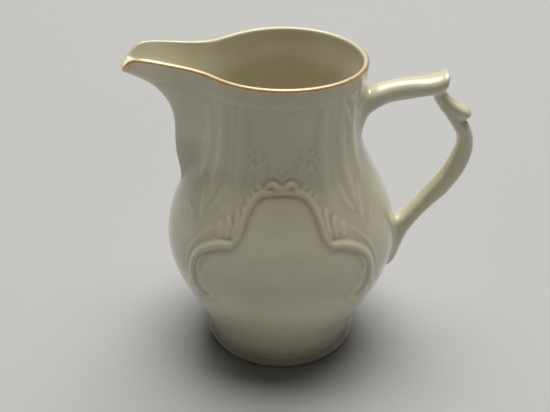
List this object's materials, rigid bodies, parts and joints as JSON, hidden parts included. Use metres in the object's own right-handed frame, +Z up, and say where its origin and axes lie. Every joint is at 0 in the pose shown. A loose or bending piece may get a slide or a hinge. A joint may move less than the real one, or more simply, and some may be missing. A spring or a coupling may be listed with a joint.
{
  "type": "cream jug",
  "caption": "Small glazed porcelain pouring jug with a round belly on a foot ring, a drawn spout, a scrolled loop handle with a thumb rest, and a gilt line on the rim.",
  "frame": {"origin": "centre of the foot ring's base, on the surface that the jug stands on", "axes": "+Z up, +X from the jug's axis towards the handle, so the spout points along -X"},
  "size_m": [0.1072, 0.0742, 0.1024],
  "materials": {
    "glaze": "glossy clear glaze over ivory porcelain",
    "gilt": "burnished gold line, a little worn"
  },
  "bodies": {
    "root": {"body_shell": "glaze", "foot_ring": "glaze", "handle": "glaze", "upper_handle_joint": "glaze", "lower_handle_joint": "glaze", "rim_gilding": "gilt"}
  },
  "joints": []
}
